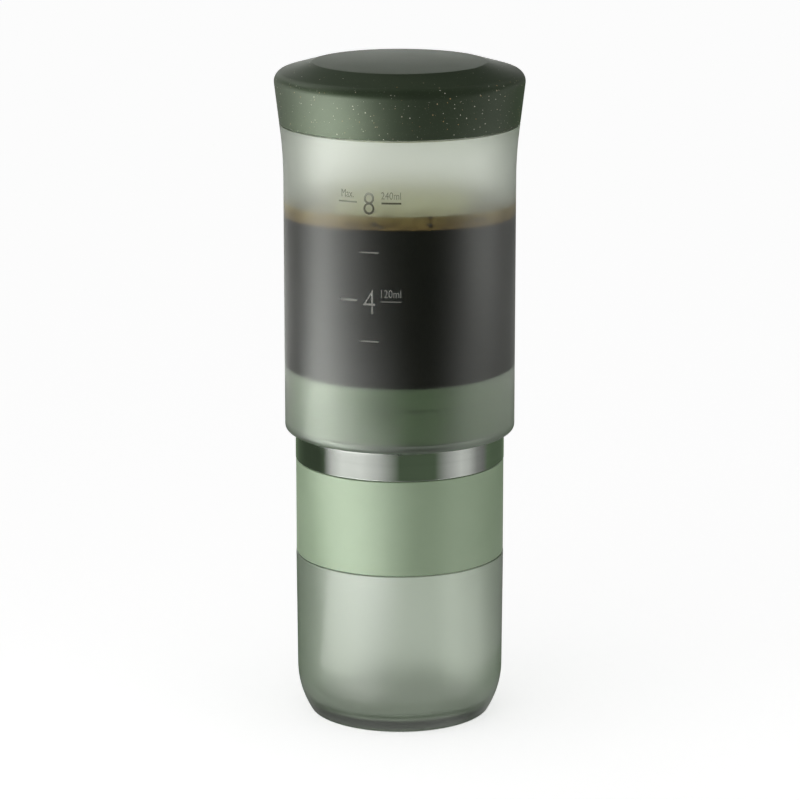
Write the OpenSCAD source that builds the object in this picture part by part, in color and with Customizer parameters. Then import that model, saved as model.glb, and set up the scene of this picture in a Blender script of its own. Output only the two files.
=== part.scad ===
// Travel coffee press: a frosted cup with a grip band, a press head that screws into its mouth,
// and a frosted brewing chamber with a screw lid that slides down over the head and the cup.
// Millimetres. Origin in the middle of the base, +Z up, the marked side of the chamber towards -Y.

/* [Cup] */
// Outer radius of the cup where its side meets the base curve
cup_r = 34.45; // [31:0.05:40]
// How much the side widens from the base curve to the band
cup_widening = 0.3; // [0.1:0.05:1]
// Height of the bare part of the cup, from the base to the band
cup_h = 55; // [45:0.5:75]
// Radius of the curve that draws the side in to the base
cup_curve_r = 28.8; // [24:0.1:34]
// Height of that curve
cup_curve_h = 15.5; // [10:0.1:20]
// Rounding of the edge round the base
cup_edge_r = 0.8; // [0.4:0.1:2]
// Thickness of the floor
cup_floor = 4; // [2.5:0.1:6]
// Rounding between the floor and the inside wall
cup_floor_r = 5; // [2:0.5:8]
// Thickness of the wall behind the band
cup_wall = 2; // [1.4:0.1:3]
// Height of the drinking lip above the band
lip_h = 6.5; // [4:0.1:9]
// Width of the ring that the cup stands on
foot_w = 6; // [3:0.5:12]
// Depth of the hollow inside that ring
foot_recess = 0.8; // [0.4:0.1:1.5]

/* [Grip band] */
// Height of the band
band_h = 32.1; // [20:0.1:45]
// Thickness of the band
band_t = 1.25; // [0.8:0.05:2]
// How far the band's face lies inside the cup's widest radius
band_inset = 0.1; // [0:0.05:0.3]

/* [Steel sleeve] */
// Thickness of the sheet
sleeve_t = 0.7; // [0.4:0.1:1.2]
// Radius of the bend at the sleeve's top
sleeve_bend_r = 1.4; // [1.3:0.1:3]
// Width of the rim that the bend turns inwards
sleeve_rim_w = 3; // [2.5:0.1:4]
// Height of steel that shows under the raised chamber
steel_show = 9.6; // [4:0.1:11]

/* [Press head] */
// Thickness of the gasket between the cup's lip and the head
neck_gasket_t = 1.2; // [0.8:0.1:2]
// Thickness of the core's flange
core_t = 4.1; // [3:0.1:6]
// Thickness of the deck that closes the core
deck_t = 2.5; // [1.5:0.1:2.9]
// Length of the threaded spigot inside the cup's mouth
spigot_h = 12; // [9:0.5:16]
// Thickness of the spigot's wall
spigot_wall = 2; // [1.4:0.1:3]
// Inside radius of the drain stem
stem_bore_r = 7; // [5:0.1:8]
// Thickness of the stem's wall
stem_wall = 3; // [2:0.1:4]
// Length of the stem below the core's deck
stem_drop = 6.5; // [5:0.1:8]
// Thickness of the seal round the stem
stem_seal_t = 1; // [0.6:0.1:1.6]
// Radius of the vent holes through the deck
vent_r = 1.2; // [0.8:0.1:1.6]
// Number of vents
vent_count = 3; // [2:1:6]

/* [Drain nut and valve] */
// Thickness of the nut's wall
nut_wall = 3.5; // [2.5:0.1:4.5]
// Thickness of the lip that holds the valve
nut_lip_t = 1.6; // [1:0.1:2.4]
// Radius of the finger flutes round the nut
nut_flute_r = 1.3; // [0.8:0.1:1.6]
// Number of flutes
nut_flutes = 12; // [8:1:16]
// Thickness of the valve's flange
valve_flange_t = 1.4; // [1:0.1:2]
// Thickness of the valve's dome
valve_t = 1; // [0.6:0.1:1.4]
// Width of the cross slit in the dome
valve_slit = 0.3; // [0.2:0.1:0.5]

/* [Piston] */
// Height of the foot that carries the seal
foot_h = 1.2; // [0.8:0.1:2]
// Height of the seal
seal_h = 10; // [8:0.5:14]
// Full thickness of the seal at its ribs
seal_t = 2.2; // [1.6:0.1:2.4]
// Height of the seal's ribs
rib_h = 0.65; // [0.4:0.05:0.9]
// Number of ribs
rib_count = 3; // [2:1:4]
// Thickness of the piston's wall behind the seal
piston_wall = 2.2; // [1.6:0.1:3]
// Thickness of the piston's neck
neck_wall = 2.1; // [1.6:0.1:2.6]
// Slope of the funnel under the filter, in degrees
funnel_slope = 9; // [4:1:11]
// Depth of the funnel's edge below the filter
funnel_drop = 2.4; // [1.8:0.1:3]
// Number of ribs that carry the filter
filter_ribs = 12; // [8:1:16]
// Thickness of those ribs
filter_rib_t = 1.2; // [0.8:0.1:2]

/* [Filter] */
// Thickness of the steel filter disc
filter_t = 0.4; // [0.2:0.1:0.8]
// Thickness of the filter's gasket
filter_gasket_t = 1; // [0.6:0.1:1.6]
// Height of the filter cap
cap_h = 7.3; // [6.6:0.1:9]
// Thickness of the cap's plate
cap_plate_t = 1.8; // [1.2:0.1:2.2]
// Thickness of the cap's skirt
cap_skirt_t = 1.6; // [1.2:0.1:1.9]
// Rounding of the cap's top edge
cap_edge_r = 0.8; // [0.4:0.1:1.2]
// Radius of the cap's holes
cap_hole_r = 1.5; // [1:0.1:1.8]
// Distance between the rings of holes
cap_hole_step = 5.2; // [4.4:0.1:6]
// Number of rings of holes
cap_rings = 5; // [3:1:5]
// Number of bayonet lugs
lug_count = 3; // [3:1:4]
// Width of a lug, in degrees
lug_span = 30; // [20:1:40]
// Height of a lug
lug_h = 1.3; // [1:0.1:1.6]
// Reach of a lug
lug_reach = 1.1; // [0.8:0.1:1.3]

/* [Brewing chamber] */
// Thickness of the chamber's wall
chamber_wall = 2.8; // [2:0.1:4]
// Height of the chamber from its open end to the lid
chamber_h = 102.7; // [90:0.1:130]
// Rounding of the open end's outer edge
chamber_edge_r = 1.8; // [0.8:0.1:2]
// How much the wall flares out below the lid
chamber_flare = 1.25; // [0.6:0.05:2]
// Height of the flare
flare_h = 17.9; // [10:0.1:30]
// Thickness of the neck inside the lid
chamber_neck_wall = 1.7; // [1.4:0.1:2.2]
// Height of the neck
chamber_neck_h = 9; // [7:0.1:12]
// Running gap between the seal's ribs and the bore
seal_fit = 0.06; // [0.03:0.01:0.1]
// Gap between the chamber's bore and the steel sleeve
slide_gap = 0.65; // [0.5:0.05:1]

/* [Lid] */
// Height of the lid above the chamber's shoulder
lid_h = 20.1; // [18:0.1:26]
// Height of the lid's side
lid_side_h = 16.4; // [15:0.1:18]
// How much the side widens upwards
lid_widening = 1.95; // [1:0.05:3]
// Rounding between the side and the sloping top
lid_round = 3.5; // [2:0.1:5]
// Radius of the flat disc in the middle of the top
lid_disc_r = 28.5; // [20:0.1:32]
// Thickness of the lid's top
lid_wall = 2.4; // [1.6:0.1:2.8]
// Thickness of the lid's seal
lid_seal_t = 1.4; // [1:0.1:2]
// Thickness of the liner's flange
liner_flange_t = 1.8; // [1.2:0.1:2]
// Depth of the liner's plug below the neck's top
plug_h = 8.9; // [5:0.1:9]
// Thickness of the plug's wall and floor
plug_wall = 2; // [1.4:0.1:3]

/* [Fits] */
// Gap between pieces that turn or slide on each other
slip = 0.4; // [0.3:0.05:0.5]
// Gap between pieces that are fixed together
fit = 0.05; // [0.03:0.01:0.08]
// Gap left at the seams that show
seam = 0.3; // [0.3:0.05:0.5]
// Room for a screw thread between two walls
thread_room = 0.65; // [0.5:0.05:0.8]
// Small bevel on edges that are touched
ease = 0.3; // [0.2:0.05:0.4]

/* [Hidden] */
$fn = 96;

// Overshoot of a cut past the face that it opens
past = 1;

// Radii, from the outside of the cup inwards and outwards
seam_r = cup_r + cup_widening;
band_r = seam_r - band_inset;
seat_r = band_r - band_t;
cup_bore_r = seat_r - cup_wall;
sleeve_r = seam_r;
sleeve_bore_r = sleeve_r - sleeve_t;
lip_r = sleeve_bore_r - slip;
core_r = sleeve_bore_r - fit;
spigot_r = cup_bore_r - thread_room;
spigot_bore_r = spigot_r - spigot_wall;
sleeve_hole_r = sleeve_r - sleeve_rim_w;
stem_r = stem_bore_r + stem_wall;
nut_bore_r = stem_r + fit;
nut_r = nut_bore_r + nut_wall;
vent_at = (nut_r + spigot_bore_r) / 2;

// Radii of the chamber, the lid and the piston inside the chamber
bore_r = sleeve_r + slide_gap;
chamber_r = bore_r + chamber_wall;
flare_r = chamber_r + chamber_flare;
flare_arc_r = (flare_h * flare_h + chamber_flare * chamber_flare) / (2 * chamber_flare);
chamber_neck_r = bore_r + chamber_neck_wall;
lid_bore_r = chamber_neck_r + thread_room;
plug_r = bore_r - slip;
seal_r = bore_r - seal_fit;
seal_bore_r = seal_r - seal_t;
piston_r = seal_bore_r - fit;
piston_bore_r = piston_r - piston_wall;
cap_r = bore_r - slip;
cap_bore_r = cap_r - cap_skirt_t;
neck_r = cap_bore_r - lug_reach - slip;
neck_bore_r = neck_r - neck_wall;

// Heights, from the base up
band_top = cup_h + band_h;
lip_top = band_top + lip_h;
sleeve_z = band_top + seam;
flange_z = lip_top + neck_gasket_t;
core_top = flange_z + core_t;
deck_z = core_top - deck_t;
spigot_z = flange_z - spigot_h;
piston_z = core_top + sleeve_t;
boss_z = core_top + stem_seal_t;
stem_z = deck_z - stem_drop;
nut_z = stem_z - valve_flange_t - nut_lip_t;
foot_top = piston_z + foot_h;
seal_top = foot_top + seal_h;
cap_z = seal_top + slip;
piston_top = cap_z + cap_h;
cap_under = piston_top - cap_plate_t;
filter_z = cap_under - fit - filter_gasket_t - filter_t;
funnel_z = filter_z - funnel_drop;
drain_z = funnel_z - (neck_bore_r - stem_bore_r) * tan(funnel_slope);
neck_lug_z = filter_z - lug_h;
cap_lug_z = neck_lug_z - slip - lug_h;
chamber_z = sleeve_z + steel_show;
shoulder_z = chamber_z + chamber_h;
flare_z = shoulder_z - flare_h;
chamber_neck_top = shoulder_z + chamber_neck_h;
lid_z = shoulder_z + seam;
lid_top = shoulder_z + lid_h;
liner_z = chamber_neck_top + lid_seal_t;
liner_top = liner_z + liner_flange_t;
plug_z = chamber_neck_top - plug_h;

// Finishes
frosted = [0.72, 0.77, 0.70, 0.55];
sage = [0.55, 0.62, 0.51];
steel = [0.74, 0.76, 0.74];
dark_green = [0.21, 0.25, 0.18];
silicone = [0.62, 0.67, 0.59];
off_white = [0.91, 0.92, 0.89];

// Direction from one point to another
function unit(v) = v / norm(v);

// Half the angle at corner k between the edges that run to a and b
function half_angle(k, a, b) = acos(unit(a - k) * unit(b - k)) / 2;

// Point on the edge from k to a where a rounding of radius r starts
function round_start(k, a, b, r) = k + unit(a - k) * r / tan(half_angle(k, a, b));

// Centre of a rounding of radius r in the corner at k
function round_centre(k, a, b, r) =
    k + unit(unit(a - k) + unit(b - k)) * r / sin(half_angle(k, a, b));

// Half section of a plain ring
module band_section(r_in, r_out, z0, z1) {
    translate([r_in, z0]) square([r_out - r_in, z1 - z0]);
}

// Half section of a ring whose outer edges are bevelled
module eased_section(r_in, r_out, z0, z1, bevel) {
    polygon([
        [r_in, z0], [r_out - bevel, z0], [r_out, z0 + bevel],
        [r_out, z1 - bevel], [r_out - bevel, z1], [r_in, z1]
    ]);
}

// Half section of a solid round block with a rounded top edge
module round_top_section(r, z0, z1, edge) {
    band_section(0, r, z0, z1 - edge);
    band_section(0, r - edge, z0, z1);
    translate([r - edge, z1 - edge]) circle(r = edge);
}

// Half section of a solid round block with a rounded bottom edge
module round_foot_section(r, z0, z1, edge) {
    band_section(0, r, z0 + edge, z1);
    band_section(0, r - edge, z0, z1);
    translate([r - edge, z0 + edge]) circle(r = edge);
}

// Half section that an arc of radius bend draws in from r at z1 to a flat base at z0
module curved_base_section(r, bend, z0, z1, edge) {
    centre = [r - bend, z1];
    corner = [centre.x + sqrt(pow(bend - edge, 2) - pow(z1 - z0 - edge, 2)), z0 + edge];
    reach = 2 * bend;
    intersection() {
        translate(centre) circle(r = bend);
        union() {
            band_section(0, corner.x, z0, z1);
            polygon([
                [0, corner.y], corner, centre + unit(corner - centre) * reach,
                [centre.x + reach, z1], [0, z1]
            ]);
            translate(corner) circle(r = edge);
        }
    }
}

// Arc-shaped lugs spread round the axis
module lug_ring(r_in, r_out, z) {
    for (i = [0 : lug_count - 1]) {
        rotate([0, 0, i * 360 / lug_count - lug_span / 2])
            rotate_extrude(angle = lug_span) band_section(r_in, r_out, z, z + lug_h);
    }
}

// Frosted cup: curved base, recess for the band, plain lip that goes up inside the steel sleeve
module cup() {
    bore_curve_r = cup_curve_r - cup_r + cup_bore_r;
    foot_r = cup_r - cup_curve_r + sqrt(pow(cup_curve_r, 2) - pow(cup_curve_h, 2));
    color(frosted) rotate_extrude() difference() {
        union() {
            curved_base_section(cup_r, cup_curve_r, 0, cup_curve_h, cup_edge_r);
            polygon([
                [0, cup_curve_h], [cup_r, cup_curve_h], [seam_r, cup_h - ease],
                [seam_r - ease, cup_h], [0, cup_h]
            ]);
            band_section(0, seat_r, cup_h - past, band_top);
            eased_section(0, lip_r, band_top, lip_top, ease);
        }
        curved_base_section(cup_bore_r, bore_curve_r, cup_floor, cup_curve_h, cup_floor_r);
        band_section(0, cup_bore_r, cup_curve_h, lip_top + past);
        band_section(0, foot_r - foot_w, -past, foot_recess);
    }
}

// Soft sleeve in the cup's recess
module grip_band() {
    color(sage) rotate_extrude() eased_section(seat_r + fit, band_r, cup_h + seam / 2, band_top, ease);
}

// Flat gasket between the cup's lip and the head
module neck_gasket() {
    color(silicone) rotate_extrude() eased_section(cup_bore_r + slip, lip_r - slip, lip_top, flange_z, ease);
}

// Moulded core: flange inside the sleeve, deck, and the spigot that screws into the cup's mouth
module head_core() {
    color(sage) difference() {
        rotate_extrude() difference() {
            union() {
                round_top_section(core_r, flange_z, core_top, sleeve_bend_r - sleeve_t);
                band_section(spigot_bore_r, spigot_r, spigot_z, flange_z + past);
            }
            band_section(0, spigot_bore_r, spigot_z - past, deck_z);
            band_section(0, stem_r + fit, deck_z - past, core_top + past);
        }
        for (i = [0 : vent_count - 1]) {
            rotate([0, 0, i * 360 / vent_count])
                translate([vent_at, 0, deck_z - past]) cylinder(r = vent_r, h = deck_t + 2 * past);
        }
    }
}

// Drawn steel sleeve: its rim is clamped between the core and the piston
module steel_sleeve() {
    color(steel) rotate_extrude() difference() {
        round_top_section(sleeve_r, sleeve_z, piston_z, sleeve_bend_r);
        round_top_section(sleeve_bore_r, sleeve_z - past, core_top, sleeve_bend_r - sleeve_t);
        band_section(0, sleeve_hole_r, core_top - past, piston_z + past);
    }
}

// Flat seal round the stem, between the piston's boss and the core's deck
module stem_seal() {
    color(silicone) rotate_extrude() band_section(stem_r + fit, nut_r, core_top, boss_z);
}

// Fluted nut that pulls the piston down on the core and holds the valve under the stem
module drain_nut() {
    color(sage) difference() {
        rotate_extrude() difference() {
            eased_section(0, nut_r, nut_z, deck_z, ease);
            band_section(0, stem_bore_r, nut_z - past, deck_z + past);
            band_section(0, nut_bore_r, nut_z + nut_lip_t, deck_z + past);
        }
        for (i = [0 : nut_flutes - 1]) {
            rotate([0, 0, (i + 0.5) * 360 / nut_flutes])
                translate([nut_r + nut_flute_r / 2, 0, nut_z - past])
                    cylinder(r = nut_flute_r, h = deck_z - nut_z - past);
        }
    }
}

// Dome valve with a cross slit: it opens only when the coffee is pressed
module flow_valve() {
    flange_bottom = stem_z - valve_flange_t;
    dome_r = stem_bore_r - slip;
    color(silicone) difference() {
        rotate_extrude() {
            band_section(dome_r - valve_t, stem_r, flange_bottom, stem_z);
            intersection() {
                difference() {
                    translate([0, flange_bottom]) circle(r = dome_r);
                    translate([0, flange_bottom]) circle(r = dome_r - valve_t);
                }
                band_section(0, dome_r, flange_bottom - dome_r, flange_bottom);
            }
        }
        for (a = [0, 90]) {
            rotate([0, 0, a])
                translate([-dome_r / 2, -valve_slit / 2, flange_bottom - dome_r - past])
                    cube([dome_r, valve_slit, valve_t + dome_r / 2]);
        }
    }
}

// Moulded piston: seal seat, bayonet neck, funnel with filter ribs, and the drain stem
module piston_body() {
    foot_r = bore_r - 2 * slip;
    funnel_under = deck_t / cos(funnel_slope);
    slope = tan(funnel_slope);
    notch_h = foot_h / 2;
    color(sage) difference() {
        union() {
            rotate_extrude() polygon([
                [foot_r, piston_z], [foot_r, foot_top], [piston_r, foot_top], [piston_r, seal_top],
                [neck_r, seal_top], [neck_r, filter_z], [neck_bore_r, filter_z], [neck_bore_r, funnel_z],
                [stem_bore_r, drain_z], [stem_bore_r, stem_z], [stem_r, stem_z], [stem_r, boss_z],
                [nut_r, boss_z], [nut_r, drain_z + (nut_r - stem_bore_r) * slope - funnel_under],
                [piston_bore_r, drain_z + (piston_bore_r - stem_bore_r) * slope - funnel_under],
                [piston_bore_r, piston_z]
            ]);
            lug_ring(neck_r - fit, neck_r + lug_reach, neck_lug_z);
            for (i = [0 : filter_ribs - 1]) {
                rotate([0, 0, i * 360 / filter_ribs])
                    translate([stem_bore_r + stem_wall, -filter_rib_t / 2, drain_z])
                        cube([neck_bore_r + neck_wall / 2 - stem_bore_r - stem_wall,
                              filter_rib_t, filter_z - drain_z]);
            }
        }
        for (i = [0 : vent_count - 1]) {
            rotate([0, 0, i * 360 / vent_count])
                translate([piston_bore_r - past, -vent_r, piston_z - past])
                    cube([foot_r - piston_bore_r + 2 * past, 2 * vent_r, notch_h + past]);
        }
    }
}

// Ribbed silicone seal that runs in the chamber's bore
module piston_seal() {
    land_r = seal_r - rib_h;
    rib_step = seal_h / rib_count;
    rib_r = 2 * rib_h;
    color(sage) rotate_extrude() {
        eased_section(seal_bore_r, land_r, foot_top, seal_top, ease);
        intersection() {
            band_section(land_r - fit, seal_r, foot_top, seal_top);
            for (i = [0 : rib_count - 1]) {
                translate([seal_r - rib_r, foot_top + (i + 0.5) * rib_step]) circle(r = rib_r);
            }
        }
    }
}

// Fine steel filter, lying on the neck and the funnel's ribs
module filter_disc() {
    color(steel) translate([0, 0, filter_z]) cylinder(r = neck_r - fit, h = filter_t);
}

// Gasket that the cap presses on the filter's edge
module filter_gasket() {
    gasket_z = filter_z + filter_t;
    color(silicone) rotate_extrude()
        band_section(neck_bore_r + fit, neck_r - fit, gasket_z, gasket_z + filter_gasket_t);
}

// Perforated cap, held on the neck by bayonet lugs
module filter_cap() {
    color(sage) {
        difference() {
            rotate_extrude() difference() {
                round_top_section(cap_r, cap_z, piston_top, cap_edge_r);
                band_section(0, cap_bore_r, cap_z - past, cap_under);
            }
            for (ring = [0 : cap_rings], i = [0 : max(6 * ring, 1) - 1]) {
                rotate([0, 0, i * 360 / max(6 * ring, 1)])
                    translate([ring * cap_hole_step, 0, cap_under - past])
                        cylinder(r = cap_hole_r, h = cap_plate_t + 2 * past);
            }
        }
        lug_ring(cap_bore_r - lug_reach, cap_bore_r + fit, cap_lug_z);
    }
}

// Frosted chamber, open at both ends, with a flared top and a threaded neck inside the lid
module brew_chamber() {
    lead_in = chamber_wall / 4;
    color(frosted) rotate_extrude() difference() {
        union() {
            round_foot_section(chamber_r, chamber_z, flare_z, chamber_edge_r);
            difference() {
                band_section(0, flare_r, flare_z, shoulder_z);
                translate([chamber_r + flare_arc_r, flare_z]) circle(r = flare_arc_r);
            }
            eased_section(0, chamber_neck_r, shoulder_z - past, chamber_neck_top, ease);
        }
        band_section(0, bore_r, chamber_z - past, chamber_neck_top + past);
        polygon([
            [0, chamber_z - past], [bore_r + lead_in + past, chamber_z - past],
            [bore_r, chamber_z + lead_in], [0, chamber_z + lead_in]
        ]);
    }
}

// Flat seal between the chamber's neck and the liner
module lid_seal() {
    color(silicone) rotate_extrude()
        eased_section(plug_r + slip, chamber_neck_r, chamber_neck_top, liner_z, ease);
}

// Inner part of the lid: flange over the seal and a hollow plug in the neck
module lid_liner() {
    color(off_white) rotate_extrude() difference() {
        union() {
            band_section(0, lid_bore_r - fit, liner_z, liner_top);
            round_foot_section(plug_r, plug_z, liner_top, ease);
        }
        band_section(0, plug_r - plug_wall, plug_z + plug_wall, liner_top + past);
    }
}

// Outer shell of the lid: widening side, rounded shoulder, sloping top with a flat disc
module lid_cap() {
    foot = [flare_r, lid_z];
    corner = [flare_r + lid_widening, shoulder_z + lid_side_h];
    disc = [lid_disc_r, lid_top];
    ledge_r = lid_bore_r - lid_wall / 2;
    drop = (lid_top - corner.y) / (corner.x - lid_disc_r);
    color(dark_green) rotate_extrude() difference() {
        union() {
            polygon([
                [0, lid_z], [foot.x - ease, lid_z], [foot.x, lid_z + ease],
                round_start(corner, foot, disc, lid_round), round_start(corner, disc, foot, lid_round),
                disc, [0, lid_top]
            ]);
            translate(round_centre(corner, foot, disc, lid_round)) circle(r = lid_round);
        }
        band_section(0, lid_bore_r, lid_z - past, liner_top);
        polygon([
            [0, liner_top - past], [ledge_r, liner_top - past],
            [ledge_r, lid_top - lid_wall - (ledge_r - lid_disc_r) * drop],
            [lid_disc_r, lid_top - lid_wall], [0, lid_top - lid_wall]
        ]);
    }
}

cup();
grip_band();
neck_gasket();
head_core();
steel_sleeve();
stem_seal();
drain_nut();
flow_valve();
piston_body();
piston_seal();
filter_disc();
filter_gasket();
filter_cap();
brew_chamber();
lid_seal();
lid_liner();
lid_cap();
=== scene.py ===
import math
import random

import bmesh
import bpy
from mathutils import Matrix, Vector


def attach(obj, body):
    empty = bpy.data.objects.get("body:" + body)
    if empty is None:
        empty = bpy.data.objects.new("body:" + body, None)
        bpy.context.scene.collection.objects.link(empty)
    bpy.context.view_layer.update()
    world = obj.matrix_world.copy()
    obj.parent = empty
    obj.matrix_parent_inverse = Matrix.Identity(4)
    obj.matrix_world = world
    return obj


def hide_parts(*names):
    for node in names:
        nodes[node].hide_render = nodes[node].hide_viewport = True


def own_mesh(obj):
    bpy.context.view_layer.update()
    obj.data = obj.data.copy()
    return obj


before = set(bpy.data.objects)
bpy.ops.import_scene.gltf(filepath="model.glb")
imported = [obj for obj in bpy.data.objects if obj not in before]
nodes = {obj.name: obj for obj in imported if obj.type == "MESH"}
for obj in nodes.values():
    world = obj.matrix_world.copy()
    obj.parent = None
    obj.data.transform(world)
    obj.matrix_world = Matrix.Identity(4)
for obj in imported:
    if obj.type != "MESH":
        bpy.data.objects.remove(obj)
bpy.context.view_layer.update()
mm = 0.001
for startObject in ("Cube", "Camera", "Light"):
    if startObject in bpy.data.objects:
        bpy.data.objects.remove(bpy.data.objects[startObject])
print("frame loaded:", len(nodes), "nodes")


# modelling helpers: a point is drawn out along a half section, its corners are rounded, and it is spun
turnSteps = 192
roundSteps = 6
smoothAngle = math.radians(35)
samePlace = 0.002 * mm
weld = 0.001 * mm


def addPoint(name):
    bpy.ops.object.select_all(action="DESELECT")
    bpy.ops.mesh.primitive_plane_add(size=mm)
    piece = bpy.context.object
    piece.name = name
    piece.data.name = name
    bpy.ops.object.mode_set(mode="EDIT")
    bpy.ops.mesh.merge(type="CENTER")
    return piece


def pickVerts(piece, wanted):
    bpy.ops.mesh.select_all(action="DESELECT")
    mesh = bmesh.from_edit_mesh(piece.data)
    for vert in mesh.verts:
        vert.select_set(wanted(vert.co))
    mesh.select_flush_mode()
    bmesh.update_edit_mesh(piece.data)


def drawSection(piece, section, closed):
    bpy.ops.transform.translate(value=(section[0][0] * mm, 0, section[0][1] * mm))
    for here, there in zip(section, section[1:]):
        step = ((there[0] - here[0]) * mm, 0, (there[1] - here[1]) * mm)
        bpy.ops.mesh.extrude_vertices_move(TRANSFORM_OT_translate={"value": step})
    if closed:
        ends = [Vector((corner[0] * mm, 0, corner[1] * mm)) for corner in (section[0], section[-1])]
        pickVerts(piece, lambda co: min((co - end).length for end in ends) < samePlace)
        bpy.ops.mesh.edge_face_add()
    for corner in section:
        if len(corner) > 2:
            place = Vector((corner[0] * mm, 0, corner[1] * mm))
            pickVerts(piece, lambda co: (co - place).length < samePlace)
            bpy.ops.mesh.bevel(offset=corner[2] * mm, affect="VERTICES", segments=roundSteps)


def pickPieces(pieces):
    bpy.ops.object.select_all(action="DESELECT")
    for piece in pieces:
        piece.select_set(True)
    bpy.context.view_layer.objects.active = pieces[0]


def joinPieces(pieces, name):
    pickPieces(pieces)
    bpy.ops.object.transform_apply(location=True, rotation=True, scale=True)
    bpy.ops.object.join()
    joined = bpy.context.object
    joined.name = name
    joined.data.name = name
    return joined


def applyAll(piece):
    pickPieces([piece])
    for modifier in list(piece.modifiers):
        bpy.ops.object.modifier_apply(modifier=modifier.name)


def closeUp(piece):
    bpy.ops.mesh.select_all(action="SELECT")
    bpy.ops.mesh.remove_doubles(threshold=weld)
    bpy.ops.mesh.normals_make_consistent(inside=False)
    bpy.ops.object.mode_set(mode="OBJECT")
    bpy.ops.object.shade_smooth_by_angle(angle=smoothAngle)
    # the large faces set the shading, so a straight wall doesn't shade as a barrel
    even = piece.modifiers.new("even", "WEIGHTED_NORMAL")
    even.keep_sharp = True
    applyAll(piece)
    return piece


def spinPiece(name, section, closed=False):
    piece = addPoint(name)
    drawSection(piece, section, closed)
    bpy.ops.mesh.select_all(action="SELECT")
    bpy.ops.mesh.spin(steps=turnSteps, angle=math.tau, center=(0, 0, 0), axis=(0, 0, 1))
    return closeUp(piece)


def arc(centre, radius, start, end, count):
    turns = [math.radians(start + (end - start) * i / count) for i in range(count + 1)]
    return [(centre[0] + radius * math.cos(t), centre[1] + radius * math.sin(t)) for t in turns]


def dress(piece, material):
    piece.data.materials.clear()
    piece.data.materials.append(material)


# node helpers for the finishes: each gives the socket that the next one reads
cloudStops = (0.3, 0.7)
grainDetail = 2.0


def newFinish(name):
    material = bpy.data.materials.new(name)
    material.use_nodes = True
    return material, material.node_tree, material.node_tree.nodes["Principled BSDF"]


def addNode(tree, kind, **values):
    node = tree.nodes.new(kind)
    for key, value in values.items():
        if hasattr(node, key):
            setattr(node, key, value)
        else:
            node.inputs[key.replace("_", " ")].default_value = value
    return node


def feed(tree, node, places, values):
    for place, value in zip(places, values):
        if isinstance(value, bpy.types.NodeSocket):
            tree.links.new(value, node.inputs[place])
        else:
            node.inputs[place].default_value = value


def reckon(tree, operation, *values):
    node = addNode(tree, "ShaderNodeMath", operation=operation)
    feed(tree, node, range(3), values)
    return node.outputs[0]


def mixTints(tree, share, first, second):
    # a colour mix has its share at input 0 and its two tints at 6 and 7
    node = addNode(tree, "ShaderNodeMix", data_type="RGBA")
    feed(tree, node, (0, 6, 7), (share, first, second))
    return node.outputs[2]


def placeOf(tree):
    return addNode(tree, "ShaderNodeTexCoord").outputs["Object"]


def splitPlace(tree):
    node = addNode(tree, "ShaderNodeSeparateXYZ")
    tree.links.new(placeOf(tree), node.inputs["Vector"])
    return node.outputs


def noiseAt(tree, scale, detail=3.0, stretch=(1, 1, 1)):
    mapping = addNode(tree, "ShaderNodeMapping", Scale=stretch)
    noise = addNode(tree, "ShaderNodeTexNoise", Scale=scale, Detail=detail)
    tree.links.new(placeOf(tree), mapping.inputs["Vector"])
    tree.links.new(mapping.outputs["Vector"], noise.inputs["Vector"])
    return noise.outputs["Fac"]


def cellsAt(tree, scale, **values):
    cells = addNode(tree, "ShaderNodeTexVoronoi", Scale=scale, **values)
    tree.links.new(placeOf(tree), cells.inputs["Vector"])
    return cells.outputs


def rampFrom(tree, source, stops, dark, light):
    ramp = addNode(tree, "ShaderNodeValToRGB")
    for stop, position, tint in zip(ramp.color_ramp.elements, stops, (dark, light)):
        stop.position = position
        stop.color = (*tint, 1)
    tree.links.new(source, ramp.inputs["Fac"])
    return ramp.outputs["Color"]


def spread(tree, source, low, high, start=0.0, end=1.0):
    node = addNode(tree, "ShaderNodeMapRange", From_Min=start, From_Max=end, To_Min=low, To_Max=high)
    tree.links.new(source, node.inputs["Value"])
    return node.outputs["Result"]


def bumpFrom(tree, shader, source, strength, depth):
    bump = addNode(tree, "ShaderNodeBump", Strength=strength, Distance=depth * mm)
    tree.links.new(source, bump.inputs["Height"])
    tree.links.new(bump.outputs["Normal"], shader.inputs["Normal"])


def tintAndRough(tree, shader, source, look, stops=cloudStops):
    tint = rampFrom(tree, source, stops, look["dark"], look["light"])
    rough = spread(tree, source, look["roughLow"], look["roughHigh"])
    tree.links.new(tint, shader.inputs["Base Color"])
    tree.links.new(rough, shader.inputs["Roughness"])
    return tint


def addGrain(tree, shader, look):
    grain = noiseAt(tree, look["grainScale"], grainDetail)
    bumpFrom(tree, shader, grain, look["grainStrength"], look["grainDepth"])


def heightShare(tree, low, high, sag=0.0, reach=1.0):
    # an edge that sags towards the sides has the same share all along
    place = splitPlace(tree)
    sideways = reckon(tree, "MULTIPLY", place["X"], place["X"])
    lifted = reckon(tree, "MULTIPLY_ADD", sideways, sag * mm / (reach * mm) ** 2, place["Z"])
    return spread(tree, lifted, 0.0, 1.0, low * mm, high * mm)


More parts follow.
